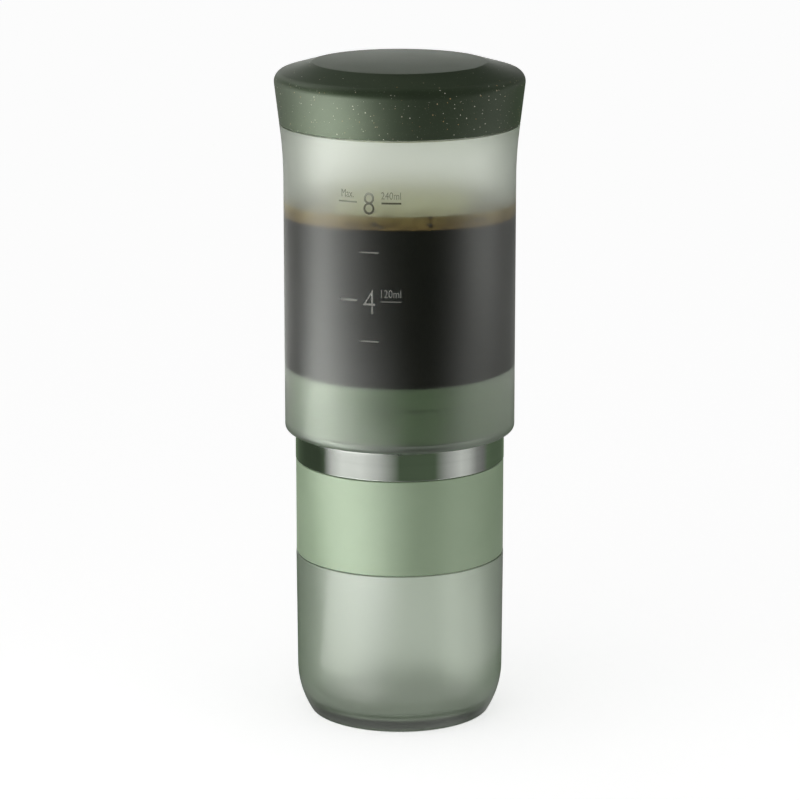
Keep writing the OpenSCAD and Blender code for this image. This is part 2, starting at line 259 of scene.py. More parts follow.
# frosted plastic: greener where it is thick; the cup has a smooth coat; the chamber's colour is darkened near
# its open end, a painted shade
def frostFinish(name, look):
    material, tree, shader = newFinish(name)
    tint = tintAndRough(tree, shader, noiseAt(tree, look["cloudScale"]), look)
    # painted shade: towards the chamber's open end the frost's colour is mixed to a dark tint
    if look["paintedEndShade"]:
        upwards = heightShare(tree, look["endLow"], look["endHigh"])
        endShaded = mixTints(tree, upwards, (*look["paintedEndShade"], 1), tint)
        tree.links.new(endShaded, shader.inputs["Base Color"])
    addGrain(tree, shader, look)
    shader.inputs["Transmission Weight"].default_value = look["clear"]
    shader.inputs["IOR"].default_value = look["ior"]
    shader.inputs["Coat Weight"].default_value = look["polish"]
    shader.inputs["Coat Roughness"].default_value = look["polishRough"]
    depthTint = (*look["depthTint"], 1)
    volume = addNode(tree, "ShaderNodeVolumeAbsorption", Color=depthTint, Density=look["density"])
    tree.links.new(volume.outputs["Volume"], tree.nodes["Material Output"].inputs["Volume"])
    return material


chamberLook = {
    "dark": (0.95, 0.962, 0.935), "light": (0.97, 0.98, 0.955), "cloudScale": 60,
    "roughLow": 0.32, "roughHigh": 0.38, "grainScale": 5200, "grainStrength": 0.25, "grainDepth": 0.02,
    "clear": 1.0, "ior": 1.5, "depthTint": (0.5, 0.56, 0.46), "density": 112,
    "polish": 0.0, "polishRough": 0.1,
    # painted shade at the chamber's open end: its dark tint and the heights it fades over
    "paintedEndShade": (0.22, 0.28, 0.21), "endLow": 97.4, "endHigh": 100.6,
}
cupLook = dict(
    chamberLook, dark=(0.90, 0.906, 0.894), light=(0.92, 0.926, 0.914),
    depthTint=(0.43, 0.54, 0.385), density=160, polish=0.35, paintedEndShade=None,
)
chamberFrost = frostFinish("chamber_frost", chamberLook)
cupFrost = frostFinish("cup_frost", cupLook)


# matte silicone and satin plastic
def moulded(name, look):
    material, tree, shader = newFinish(name)
    tintAndRough(tree, shader, noiseAt(tree, look["cloudScale"]), look)
    addGrain(tree, shader, look)
    shader.inputs["Specular IOR Level"].default_value = look["gloss"]
    shader.inputs["Sheen Weight"].default_value = look["bloom"]
    shader.inputs["Sheen Roughness"].default_value = look["bloomRough"]
    return material


siliconeLook = {
    "roughLow": 0.44, "roughHigh": 0.5, "cloudScale": 90, "grainScale": 3800, "grainStrength": 0.2,
    "grainDepth": 0.03, "gloss": 0.5, "bloom": 0.0, "bloomRough": 0.5,
}
plasticLook = dict(
    siliconeLook, roughLow=0.36, roughHigh=0.44, cloudScale=120, grainScale=3000, grainStrength=0.12,
)
sageSilicone = moulded("sage_silicone", dict(
    siliconeLook, dark=(0.246, 0.346, 0.205), light=(0.265, 0.368, 0.222), gloss=0.95,
))
sagePlastic = moulded("sage_plastic", dict(
    plasticLook, dark=(0.215, 0.290, 0.185), light=(0.235, 0.312, 0.203),
))
# darker copies of the sage plastic and silicone for the piston parts inside the chamber: painted shade
shadedSagePlastic = moulded("shaded_sage_plastic", dict(
    plasticLook, dark=(0.125, 0.200, 0.098), light=(0.142, 0.222, 0.114),
))
shadedSageSilicone = moulded("shaded_sage_silicone", dict(
    siliconeLook, dark=(0.134, 0.211, 0.105), light=(0.150, 0.232, 0.122), roughLow=0.48, roughHigh=0.54,
))
paleSilicone = moulded("pale_silicone", dict(
    siliconeLook, dark=(0.52, 0.56, 0.49), light=(0.57, 0.61, 0.54), roughLow=0.42, cloudScale=100,
    grainScale=3400, grainStrength=0.15, gloss=0.4, bloom=0.05,
))
palePlastic = moulded("pale_plastic", dict(
    plasticLook, dark=(0.77, 0.79, 0.73), light=(0.81, 0.83, 0.77), roughLow=0.38, roughHigh=0.46,
    cloudScale=110,
))


# dark green lid plastic with pale and tan specks and a mist of fine green ones
lidLook = {
    "dark": (0.021, 0.036, 0.014), "light": (0.027, 0.043, 0.018), "roughLow": 0.44, "roughHigh": 0.52,
    "gloss": 0.62, "glossTint": (0.91, 1.0, 0.87),
    "cloudScale": 70, "grainScale": 3600, "grainStrength": 0.25, "grainDepth": 0.03,
    "speckScale": 820, "speckSize": 0.175, "speckSmall": 0.35, "speckPower": 2.0, "speckShare": 0.95,
    "speckTop": 219.6, "slopeShare": 0.3, "slope": 216.2, "slopeFade": 0.8,
    "speckWhite": (0.66, 0.65, 0.54), "speckTan": (0.46, 0.29, 0.11), "tanStops": (0.45, 0.9),
    "mistScale": 1500, "mistSize": 0.13, "mistTint": (0.10, 0.13, 0.08),
}


def speckledFinish(name, look):
    material, tree, shader = newFinish(name)
    base = tintAndRough(tree, shader, noiseAt(tree, look["cloudScale"]), look)
    cells = cellsAt(tree, look["speckScale"])
    parts = addNode(tree, "ShaderNodeSeparateColor")
    tree.links.new(cells["Color"], parts.inputs["Color"])
    # the slope has fewer specks and the disc on top has none
    height = splitPlace(tree)["Z"]
    fade = ((look["slope"] - look["slopeFade"]) * mm, look["slope"] * mm)
    share = spread(tree, height, look["speckShare"], look["slopeShare"], *fade)
    below = reckon(tree, "LESS_THAN", height, look["speckTop"] * mm)
    # a cell has a speck where its red is low; its green gives the size and its blue the colour
    chosen = reckon(tree, "LESS_THAN", parts.outputs["Red"], share)
    shrink = reckon(tree, "POWER", parts.outputs["Green"], look["speckPower"])
    size = spread(tree, shrink, look["speckSize"] * look["speckSmall"], look["speckSize"])
    inside = reckon(tree, "LESS_THAN", cells["Distance"], size)
    speck = reckon(tree, "MULTIPLY", reckon(tree, "MULTIPLY", chosen, inside), below)
    hue = rampFrom(tree, parts.outputs["Blue"], look["tanStops"], look["speckWhite"], look["speckTan"])
    mist = cellsAt(tree, look["mistScale"])
    dust = reckon(tree, "LESS_THAN", mist["Distance"], look["mistSize"])
    dusted = mixTints(tree, dust, base, (*look["mistTint"], 1))
    tree.links.new(mixTints(tree, speck, dusted, hue), shader.inputs["Base Color"])
    addGrain(tree, shader, look)
    shader.inputs["Specular IOR Level"].default_value = look["gloss"]
    shader.inputs["Specular Tint"].default_value = (*look["glossTint"], 1)
    return material


lidGreen = speckledFinish("lid_green", lidLook)


# drawn steel: fine lines run round the sleeve
steelLook = {
    "dark": (0.42, 0.435, 0.42), "light": (0.445, 0.46, 0.445), "roughLow": 0.03, "roughHigh": 0.045,
    "lineScale": 900, "lineDetail": 4.0, "lineStretch": (0.02, 0.02, 1), "lineStrength": 0.012,
    "lineDepth": 0.01,
}


def drawnSteel(name, look):
    material, tree, shader = newFinish(name)
    lines = noiseAt(tree, look["lineScale"], look["lineDetail"], look["lineStretch"])
    tintAndRough(tree, shader, lines, look)
    bumpFrom(tree, shader, lines, look["lineStrength"], look["lineDepth"])
    shader.inputs["Metallic"].default_value = 1.0
    return material


sleeveSteel = drawnSteel("sleeve_steel", steelLook)


# etched filter steel: a close grid of fine holes
filterLook = {
    "holeScale": 1600, "holeEdge": (0.22, 0.3), "dark": (0.03, 0.03, 0.03), "light": (0.55, 0.56, 0.55),
    "roughLow": 0.2, "roughHigh": 0.36, "strength": 0.4, "depth": 0.05,
}


def etchedSteel(name, look):
    material, tree, shader = newFinish(name)
    holes = cellsAt(tree, look["holeScale"], Randomness=0.0)["Distance"]
    tintAndRough(tree, shader, holes, look, look["holeEdge"])
    bumpFrom(tree, shader, holes, look["strength"], look["depth"])
    shader.inputs["Metallic"].default_value = 1.0
    return material


filterSteel = etchedSteel("filter_steel", filterLook)


# coffee, crema, its bubbles and the marks' inks
liquidGrain = {"stops": (0.32, 0.68), "detail": 5.0, "depth": 0.1}


def liquid(name, look):
    material, tree, shader = newFinish(name)
    cloud = noiseAt(tree, look["cloudScale"], liquidGrain["detail"])
    tintAndRough(tree, shader, cloud, look, liquidGrain["stops"])
    bumpFrom(tree, shader, cloud, look["strength"], liquidGrain["depth"])
    shader.inputs["Specular IOR Level"].default_value = look["gloss"]
    return material


coffeeFinish = liquid("coffee", {
    "dark": (0.003, 0.0026, 0.0012), "light": (0.005, 0.004, 0.0018), "cloudScale": 40,
    "roughLow": 0.12, "roughHigh": 0.2, "strength": 0.02, "gloss": 0.05,
})
cremaFinish = liquid("crema", {
    "dark": (0.93, 0.89, 0.61), "light": (0.97, 0.94, 0.71), "cloudScale": 420,
    "roughLow": 0.5, "roughHigh": 0.7, "strength": 0.35, "gloss": 0.3,
})
bubbleFinish = liquid("crema_bubble", {
    "dark": (0.34, 0.25, 0.13), "light": (0.44, 0.34, 0.19), "cloudScale": 600,
    "roughLow": 0.15, "roughHigh": 0.25, "strength": 0.05, "gloss": 0.5,
})
inkLook = {"cloudScale": 800, "roughLow": 0.45, "roughHigh": 0.55, "strength": 0.05, "gloss": 0.3}
inkTints = {
    "dark": ((0.080, 0.076, 0.052), (0.092, 0.088, 0.062)),
    # ink for the 8, made paler at its top by a painted highlight
    "top_highlit": ((0.074, 0.070, 0.048), (0.086, 0.082, 0.058)),
    "grey": ((0.232, 0.235, 0.197), (0.252, 0.255, 0.215)),
    "pale": ((0.270, 0.272, 0.245), (0.295, 0.297, 0.270)),
}
inks = {}
for inkName, (dark, light) in inkTints.items():
    inks[inkName] = liquid(inkName + "_ink", dict(inkLook, dark=dark, light=light))
rimLook = {
    "inner": 34.2, "outer": 35.1, "low": 170.7, "high": 174.9, "sag": 1.3, "reach": 35.5,
    "film": 0.21, "filmTop": 178.8, "filmStep": (0.005, 0.02),
    "cloudScale": 300, "cloudDetail": 4.0, "cloudStops": (0.32, 0.68),
    "lowDark": (0.120, 0.066, 0.014), "lowLight": (0.290, 0.186, 0.056),
    "highDark": (0.225, 0.155, 0.050), "highLight": (0.440, 0.336, 0.132),
}
bubbleLook = dict(
    rimLook, lowDark=(0.014, 0.006, 0.002), lowLight=(0.025, 0.011, 0.003), highDark=(0.014, 0.006, 0.002),
    highLight=(0.025, 0.011, 0.003),
)
# painted highlight: the 8's ink turns to this pale tint between these heights
topHighlightLook = {"low": 178.8, "high": 182.9, "tint": (0.42, 0.43, 0.355)}


def brownRim(material, look):
    # brown near the chamber's wall, darker at the foot
    tree = material.node_tree
    base = tree.nodes["Principled BSDF"].inputs["Base Color"]
    cloud = noiseAt(tree, look["cloudScale"], look["cloudDetail"])
    lower = rampFrom(tree, cloud, look["cloudStops"], look["lowDark"], look["lowLight"])
    upper = rampFrom(tree, cloud, look["cloudStops"], look["highDark"], look["highLight"])
    upwards = heightShare(tree, look["low"], look["high"], look["sag"], look["reach"])
    rim = mixTints(tree, upwards, lower, upper)
    flat = addNode(tree, "ShaderNodeVectorMath", operation="MULTIPLY")
    feed(tree, flat, (0, 1), (placeOf(tree), (1, 1, 0)))
    across = addNode(tree, "ShaderNodeVectorMath", operation="LENGTH")
    tree.links.new(flat.outputs["Vector"], across.inputs[0])
    outwards = spread(tree, across.outputs["Value"], 0.0, 1.0, look["inner"] * mm, look["outer"] * mm)
    tree.links.new(mixTints(tree, outwards, base.links[0].from_socket, rim), base)


def thinUpwards(material, look):
    # the foam's film on the wall gets thinner with height
    tree = material.node_tree
    share = addNode(tree, "ShaderNodeValToRGB")
    upwards = heightShare(tree, look["low"], look["filmTop"], look["sag"], look["reach"])
    tree.links.new(upwards, share.inputs["Fac"])
    foamShare = (look["high"] - look["low"]) / (look["filmTop"] - look["low"])
    before, after = look["filmStep"]
    stops = share.color_ramp.elements
    stops[0].position, stops[1].position = foamShare - before, 1.0
    stops[0].color, stops[1].color = (1, 1, 1, 1), (0, 0, 0, 1)
    stops.new(foamShare + after).color = (look["film"],) * 3 + (1,)
    tree.links.new(share.outputs["Color"], tree.nodes["Principled BSDF"].inputs["Alpha"])


def highlightUpwards(material, look):
    # painted highlight: the ink's colour turns paler with height
    tree = material.node_tree
    base = tree.nodes["Principled BSDF"].inputs["Base Color"]
    upwards = heightShare(tree, look["low"], look["high"])
    tree.links.new(mixTints(tree, upwards, base.links[0].from_socket, (*look["tint"], 1)), base)


brownRim(cremaFinish, rimLook)
thinUpwards(cremaFinish, rimLook)
brownRim(bubbleFinish, bubbleLook)
# the 8's ink gets its painted highlight
highlightUpwards(inks["top_highlit"], topHighlightLook)
print("finishes made:", len(bpy.data.materials))


# cup: thick curved base on a foot ring, recess for the band, lip that goes up inside the steel sleeve
cupShape = {
    "curveCentre": (5.65, 15.5), "curveRadius": 28.8, "footRadius": 23.92, "recess": 0.8, "edge": 0.8,
    "sideTop": (34.75, 55.0), "seat": 33.40, "bandTop": 87.1, "lip": 33.65, "lipTop": 93.6,
    "bore": 31.40, "floor": 4.0, "floorRound": 5.0, "footEdge": 0.3, "sideEdge": 0.35, "lipEdge": 0.5,
    "edgeSteps": 6, "curveSteps": 20, "floorSteps": 10,
}


def cupSection(shape):
    centre, big = shape["curveCentre"], shape["curveRadius"]
    small = shape["edge"]
    edgeAcross = math.sqrt((big - small) ** 2 - (centre[1] - small) ** 2)
    edgeTurn = math.degrees(math.atan2(small - centre[1], edgeAcross))
    inner = shape["bore"] - centre[0]
    floorUp = shape["floor"] + shape["floorRound"]
    floorAcross = math.sqrt((inner - shape["floorRound"]) ** 2 - (centre[1] - floorUp) ** 2)
    floorTurn = math.degrees(math.atan2(floorUp - centre[1], floorAcross))
    sideR, sideZ = shape["sideTop"]
    foot, footEdge, lipEdge = shape["footRadius"], shape["footEdge"], shape["lipEdge"]
    section = [(0, shape["recess"]), (foot, shape["recess"], footEdge), (foot, 0, footEdge)]
    section += arc((centre[0] + edgeAcross, small), small, -90, edgeTurn, shape["edgeSteps"])
    section += arc(centre, big, edgeTurn, 0, shape["curveSteps"])[1:]
    section += [(sideR, sideZ, shape["sideEdge"]), (shape["seat"], sideZ), (shape["seat"], shape["bandTop"])]
    section += [(shape["lip"], shape["bandTop"]), (shape["lip"], shape["lipTop"], lipEdge)]
    section += [(shape["bore"], shape["lipTop"], lipEdge)]
    section += arc(centre, inner, 0, floorTurn, shape["floorSteps"])
    floorCentre = (centre[0] + floorAcross, floorUp)
    section += arc(floorCentre, shape["floorRound"], floorTurn, -90, shape["floorSteps"])[1:]
    section += [(0, shape["floor"])]
    return section


cup = spinPiece("cup_shell", cupSection(cupShape))
dress(cup, cupFrost)
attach(cup, "cup")
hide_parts("cup")

# grip band in the cup's recess
bandShape = {"inner": 33.45, "outer": 34.65, "low": 55.15, "high": 87.1, "edge": 0.35}
band = spinPiece("grip_sleeve", [
    (bandShape["inner"], bandShape["low"]), (bandShape["outer"], bandShape["low"], bandShape["edge"]),
    (bandShape["outer"], bandShape["high"], bandShape["edge"]), (bandShape["inner"], bandShape["high"]),
], closed=True)
dress(band, sageSilicone)
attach(band, "cup")
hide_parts("grip_band")
print("cup and band made")

# steel sleeve of the press head, its top bent inwards
steelShape = {"outer": 34.75, "wall": 0.7, "low": 87.4, "high": 99.6, "bend": 1.4, "rim": 31.75, "edge": 0.12}


def steelSection(shape):
    outer, rim, low, high, edge = (shape[key] for key in ("outer", "rim", "low", "high", "edge"))
    inner, under = outer - shape["wall"], high - shape["wall"]
    return [
        (inner, low, edge), (outer, low, edge), (outer, high, shape["bend"]), (rim, high, edge),
        (rim, under, edge), (inner, under, shape["bend"] - shape["wall"]),
    ]


steel = spinPiece("steel_ring", steelSection(steelShape), closed=True)
dress(steel, sleeveSteel)
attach(steel, "press_head")
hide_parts("steel_sleeve")

# ribbed piston seal
sealShape = {
    "inner": 33.14, "land": 34.69, "rib": 35.34, "low": 100.8, "high": 110.8, "ribs": 3, "ribHalf": 1.1,
    "crestHalf": 0.35, "edge": 0.3, "rootEdge": 0.2,
}


def sealSection(shape):
    step = (shape["high"] - shape["low"]) / shape["ribs"]
    land, rib, edge, rootEdge = (shape[key] for key in ("land", "rib", "edge", "rootEdge"))
    section = [(shape["inner"], shape["low"]), (land, shape["low"], edge)]
    for i in range(shape["ribs"]):
        middle = shape["low"] + (i + 0.5) * step
        section += [(land, middle - shape["ribHalf"], rootEdge), (rib, middle - shape["crestHalf"], edge)]
        section += [(rib, middle + shape["crestHalf"], edge), (land, middle + shape["ribHalf"], rootEdge)]
    return section + [(land, shape["high"], edge), (shape["inner"], shape["high"])]


seal = spinPiece("ribbed_seal", sealSection(sealShape), closed=True)
# the seal takes the sage silicone darkened by painted shade
dress(seal, shadedSageSilicone)
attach(seal, "press_head")
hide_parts("piston_seal")
print("steel sleeve and seal made")

# frosted chamber: straight tube, flared under the lid, neck inside the lid
chamberShape = {
    "bore": 35.40, "outer": 38.20, "low": 97.0, "edge": 1.8, "leadIn": 0.7, "leadEdge": (0.25, 0.3),
    "flareLow": 181.8, "shoulder": 199.7, "flareOut": 1.25, "flareEdge": 0.25, "flareSteps": 10,
    "neck": 37.10, "neckTop": 208.7, "neckEdge": (0.3, 0.35),
}


def chamberSection(shape):
    height = shape["shoulder"] - shape["flareLow"]
    sweep = (height ** 2 + shape["flareOut"] ** 2) / (2 * shape["flareOut"])
    reach = math.degrees(math.asin(height / sweep))
    bore, neck, low, neckTop = (shape[key] for key in ("bore", "neck", "low", "neckTop"))
    leadStart, leadEnd = shape["leadEdge"]
    neckFoot, neckEdge = shape["neckEdge"]
    section = [(bore + shape["leadIn"], low, leadStart), (shape["outer"], low, shape["edge"])]
    flareCentre = (shape["outer"] + sweep, shape["flareLow"])
    section += arc(flareCentre, sweep, 180, 180 - reach, shape["flareSteps"])
    section[-1] = (*section[-1], shape["flareEdge"])
    section += [(neck, shape["shoulder"], neckFoot), (neck, neckTop, neckEdge)]
    return section + [(bore, neckTop, neckEdge), (bore, low + shape["leadIn"], leadEnd)]


chamber = spinPiece("chamber_tube", chamberSection(chamberShape), closed=True)
dress(chamber, chamberFrost)
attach(chamber, "chamber")
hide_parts("brew_chamber")

# moulding nub on the chamber's open end
nubShape = {
    "width": 1.2, "depth": 0.9, "height": 0.4, "radius": 37.0, "edge": 0.2, "edgeSteps": 3, "drop": 0.1,
}
bpy.ops.object.select_all(action="DESELECT")
bpy.ops.mesh.primitive_cube_add(size=mm)
nub = bpy.context.object
nub.name = "chamber_nub"
nub.data.name = "chamber_nub"
bpy.ops.object.mode_set(mode="EDIT")
bpy.ops.transform.resize(value=(nubShape["width"], nubShape["depth"], nubShape["height"]))
bpy.ops.mesh.bevel(offset=nubShape["edge"] * mm, segments=nubShape["edgeSteps"])
nubHeight = chamberShape["low"] - nubShape["drop"]
bpy.ops.transform.translate(value=(0, -nubShape["radius"] * mm, nubHeight * mm))
closeUp(nub)
dress(nub, chamberFrost)
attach(nub, "chamber")
print("chamber made")

# lid shell: widening side, rounded shoulder, sloping top with a flat disc
lidShape = {
    "foot": (39.45, 200.0), "corner": (41.40, 216.1), "round": 3.0, "disc": 28.5, "top": 219.8,
    "bore": 37.75, "ledge": (36.55, 211.9), "wall": 2.4, "discEdge": 0.25, "footEdge": (0.35, 0.3),
}


def lidSection(shape):
    drop = (shape["top"] - shape["corner"][1]) / (shape["corner"][0] - shape["disc"])
    under = shape["top"] - shape["wall"]
    bore, disc, ledge = shape["bore"], shape["disc"], shape["ledge"]
    outerEdge, innerEdge = shape["footEdge"]
    section = [(0, shape["top"]), (disc, shape["top"], shape["discEdge"]), (*shape["corner"], shape["round"])]
    section += [(*shape["foot"], outerEdge), (bore, shape["foot"][1], innerEdge), (bore, ledge[1])]
    section += [ledge, (ledge[0], under - (ledge[0] - disc) * drop)]
    return section + [(disc, under), (0, under)]


lid = spinPiece("lid_shell", lidSection(lidShape))
dress(lid, lidGreen)
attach(lid, "lid")
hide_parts("lid_cap")
print("lid made")

# screw threads: two starts each, the inner and outer ones half a pitch apart
threadShape = {
    "lead": 6.0, "turns": 1.0, "root": 1.5, "crest": 0.7, "depth": 0.5, "sink": 0.06, "steps": 96,
    "near": 0.01, "endShare": 0.6,
    "rows": [  # name, wall's radius, foot, outwards, finish, body, slot
        ("chamber_thread", chamberShape["neck"], 201.4, True, chamberFrost, "chamber", "chamber_frost"),
        ("lid_thread", lidShape["bore"], 202.9, False, lidGreen, "lid", "lid_green"),
        ("head_thread", 30.75, 84.6, True, sagePlastic, "press_head", "sage_plastic"),
        ("cup_thread", cupShape["bore"], 86.1, False, cupFrost, "cup", "cup_frost"),
    ],
}


def windThread(name, radius, low, outwards, finish, body, slotName):
    shape = threadShape
    side = 1 if outwards else -1
    wall, tip = radius - side * shape["sink"], radius + side * shape["depth"]
    piece = addPoint(name)
    drawSection(piece, [
        (wall, low - shape["root"] / 2), (tip, low - shape["crest"] / 2),
        (tip, low + shape["crest"] / 2), (wall, low + shape["root"] / 2),
    ], closed=True)
    bpy.ops.object.mode_set(mode="OBJECT")
    screw = piece.modifiers.new("screw", "SCREW")
    screw.angle = math.tau * shape["turns"]
    screw.screw_offset = shape["lead"] * shape["turns"] * mm
    screw.steps = screw.render_steps = shape["steps"]
    screw.use_merge_vertices = False
    applyAll(piece)
    bpy.ops.object.mode_set(mode="EDIT")
    bpy.ops.mesh.select_all(action="SELECT")
    bpy.ops.mesh.fill_holes(sides=0)
    # both ends run out into the wall
    ends = [low * mm, (low + shape["lead"] * shape["turns"]) * mm]
    half, near = shape["crest"] * shape["endShare"] * mm, shape["near"] * mm
    pickVerts(piece, lambda co: abs(math.hypot(co.x, co.y) - tip * mm) < near and abs(co.y) < near
              and co.x > 0 and min(abs(co.z - end) for end in ends) < half)
    bpy.ops.transform.resize(value=(wall / tip, wall / tip, 1), center_override=(0, 0, 0))
    bpy.ops.mesh.select_all(action="SELECT")
    bpy.ops.mesh.duplicate()
    bpy.ops.transform.rotate(value=math.pi, orient_axis="Z", center_override=(0, 0, 0))
    closeUp(piece)
    dress(piece, finish)
    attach(piece, body)


for row in threadShape["rows"]:
    windThread(*row)
print("threads made")

# coffee and crema in the chamber, carried by the press head
coffeeShape = {
    "radius": 35.45, "low": 118.55, "top": 170.7, "gap": 0.03, "edge": 0.4, "film": 0.004, "anchor": 118.5,
    "foam": 4.2, "climb": 4.6, "overhang": 0.05, "lipDepth": 1.2,
    "backLip": 0.15, "backStart": 0.35, "backReach": 0.6,
    "lip": [(0.12, 4.6), (0.3, 0.2, 0.2), (1.0, -0.35, 0.5)],  # in from the wall, up from the foam, rounding
    "hollow": [(24, 0.5), (12, 0.42), (0, 0.5)],  # radius, down from the foam
}


def settle(piece):
    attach(piece, "press_head")
    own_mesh(piece)


coffeeTop = coffeeShape["top"] - coffeeShape["gap"]
coffee = spinPiece("coffee_fill", [
    (0, coffeeShape["low"]), (coffeeShape["radius"], coffeeShape["low"], coffeeShape["edge"]),
    (coffeeShape["radius"], coffeeTop), (0, coffeeTop),
])
dress(coffee, coffeeFinish)
settle(coffee)

foamTop = coffeeShape["top"] + coffeeShape["foam"]
foamRadius = coffeeShape["radius"] + coffeeShape["overhang"]
cremaSection = [(0, coffeeShape["top"]), (foamRadius, coffeeShape["top"]), (foamRadius, foamTop)]
cremaSection += [(foamRadius, foamTop + coffeeShape["climb"] * share) for share in (0.5, 1)]
cremaSection += [(foamRadius - inwards, foamTop + up, *edge) for inwards, up, *edge in coffeeShape["lip"]]
cremaSection += [(across, foamTop - down) for across, down in coffeeShape["hollow"]]
crema = spinPiece("crema_layer", cremaSection)
# the foam's edge sags at the sides, and its film is lower at the back
bpy.ops.object.mode_set(mode="EDIT")
foamMesh = bmesh.from_edit_mesh(crema.data)
for vert in foamMesh.verts:
    if math.hypot(vert.co.x, vert.co.y) > (foamRadius - coffeeShape["lipDepth"]) * mm:
        sideways = abs(vert.co.x) / (foamRadius * mm)
        backwards = (vert.co.y / (foamRadius * mm) + coffeeShape["backStart"]) / coffeeShape["backReach"]
        lip = max(0, vert.co.z - foamTop * mm) * min(1, max(0, backwards))
        vert.co.z -= rimLook["sag"] * sideways ** 2 * mm + lip * (1 - coffeeShape["backLip"])
bmesh.update_edit_mesh(crema.data)
bpy.ops.object.mode_set(mode="OBJECT")
dress(crema, cremaFinish)
settle(crema)

# bubbles: some at the wall, the rest spread over the top of the crema
bubbleShape = {
    "seed": 11, "count": 70, "small": 0.35, "large": 1.1, "roundness": 2,
    "atWall": [  # turn, height, size
        (-12.9, 172.6, 1.4), (-9.6, 171.7, 1.1), (15.6, 174.5, 0.9), (15.5, 172.2, 1.35), (42.3, 172.6, 1.1),
        (47.5, 172.2, 1.0), (36.5, 172.0, 0.8), (-38.3, 171.8, 0.8), (4.0, 171.6, 0.5), (25.0, 173.6, 0.6),
    ],
    "wallDepth": 0.4, "wallSink": 0.25, "height": 0.7, "inset": 1.5, "drop": 0.5,
}
draw = random.Random(bubbleShape["seed"])
spots = []
for turn, height, size in bubbleShape["atWall"]:
    t = math.radians(turn)
    across = foamRadius - size * bubbleShape["wallSink"]
    spots.append((across * math.sin(t), -across * math.cos(t), height, size, t, bubbleShape["wallDepth"]))
for i in range(bubbleShape["count"]):
    size = draw.uniform(bubbleShape["small"], bubbleShape["large"])
    across = (coffeeShape["radius"] - bubbleShape["inset"] - size) * math.sqrt(draw.random())
    t = draw.uniform(0, math.tau)
    spots.append((across * math.cos(t), across * math.sin(t), foamTop - bubbleShape["drop"], size, 0.0, 1.0))
bpy.ops.object.select_all(action="DESELECT")
bubbleParts = []
for x, y, z, size, t, depth in spots:
    place = (x * mm, y * mm, z * mm)
    bpy.ops.mesh.primitive_ico_sphere_add(
        subdivisions=bubbleShape["roundness"], radius=size * mm, location=place,
    )
    part = bpy.context.object
    part.scale = (1, depth, bubbleShape["height"])
    part.rotation_euler = (0, 0, t)
    bubbleParts.append(part)
bubbles = joinPieces(bubbleParts, "crema_bubbles")
bpy.ops.object.shade_smooth()
dress(bubbles, bubbleFinish)
settle(bubbles)
print("coffee made")

# printed measuring marks: flat shapes are set round the chamber and laid on its wall
markShape = {
    "turn": -14.9, "stand": 0.4, "lift": 0.03, "ink": 0.05, "cut": 0.6, "curveSteps": 6, "weld": 0.0001,
    "words": [  # text, ink, turn from the middle, height of its foot, height, width, thinning
        # the 8 uses the ink with a painted highlight at its top
        ("8", "top_highlit", 0.0, 176.0, 7.2, 3.6, -0.012), ("4", "pale", 0.1, 143.7, 8.0, 3.9, -0.012),
        ("240ml", "grey", 10.75, 181.1, 2.3, 6.4, -0.004), ("120ml", "pale", 10.75, 149.1, 2.6, 6.5, -0.004),
        ("Max.", "grey", -10.9, 181.3, 2.5, 4.3, -0.004),
    ],
    "bars": [  # ink, turn from the middle, height, length, thickness
        ("dark", 10.9, 179.8, 6.4, 0.55), ("grey", -10.8, 179.9, 6.5, 0.4), ("pale", 0.0, 163.7, 6.3, 0.42),
        ("pale", -10.6, 147.9, 6.2, 0.75), ("pale", 10.75, 147.8, 6.6, 0.25), ("pale", 0.0, 134.6, 6.3, 0.42),
    ],
}


def layMark(part, turn):
    # the flat mark stands up in front of the wall and turns to its place
    pickPieces([part])
    bpy.ops.object.mode_set(mode="EDIT")
    width = max(abs(vert.co.x) for vert in part.data.vertices) / mm
    cut = -width + markShape["cut"]
    while cut < width:
        bpy.ops.mesh.select_all(action="SELECT")
        bpy.ops.mesh.bisect(plane_co=(cut * mm, 0, 0), plane_no=(1, 0, 0))
        cut += markShape["cut"]
    bpy.ops.mesh.select_all(action="SELECT")
    bpy.ops.transform.translate(value=(0, -(chamberShape["outer"] + markShape["stand"]) * mm, 0))
    bpy.ops.object.mode_set(mode="OBJECT")
    part.rotation_euler = (0, 0, math.radians(markShape["turn"] + turn))
    bpy.ops.object.transform_apply(location=True, rotation=True, scale=True)


markParts = []
for text, ink, turn, foot, height, width, thinning in markShape["words"]:
    bpy.ops.object.select_all(action="DESELECT")
    bpy.ops.object.text_add()
    part = bpy.context.object
    part.data.body = text
    part.data.offset = thinning
    part.data.resolution_u = markShape["curveSteps"]
    bpy.ops.object.convert(target="MESH")
    part = bpy.context.object
    low = Vector([min(vert.co[i] for vert in part.data.vertices) for i in range(3)])
    high = Vector([max(vert.co[i] for vert in part.data.vertices) for i in range(3)])
    bpy.ops.object.mode_set(mode="EDIT")
    bpy.ops.mesh.select_all(action="SELECT")
    bpy.ops.mesh.remove_doubles(threshold=markShape["weld"])
    bpy.ops.transform.translate(value=(-(low.x + high.x) / 2, -low.y, 0))
    size = (width * mm / (high.x - low.x), height * mm / (high.y - low.y), 1)
    bpy.ops.transform.resize(value=size, center_override=(0, 0, 0))
    bpy.ops.object.mode_set(mode="OBJECT")
    part.rotation_euler = (math.pi / 2, 0, 0)
    part.location = (0, 0, foot * mm)
    bpy.ops.object.transform_apply(location=True, rotation=True, scale=True)
    layMark(part, turn)
    dress(part, inks[ink])
    markParts.append(part)
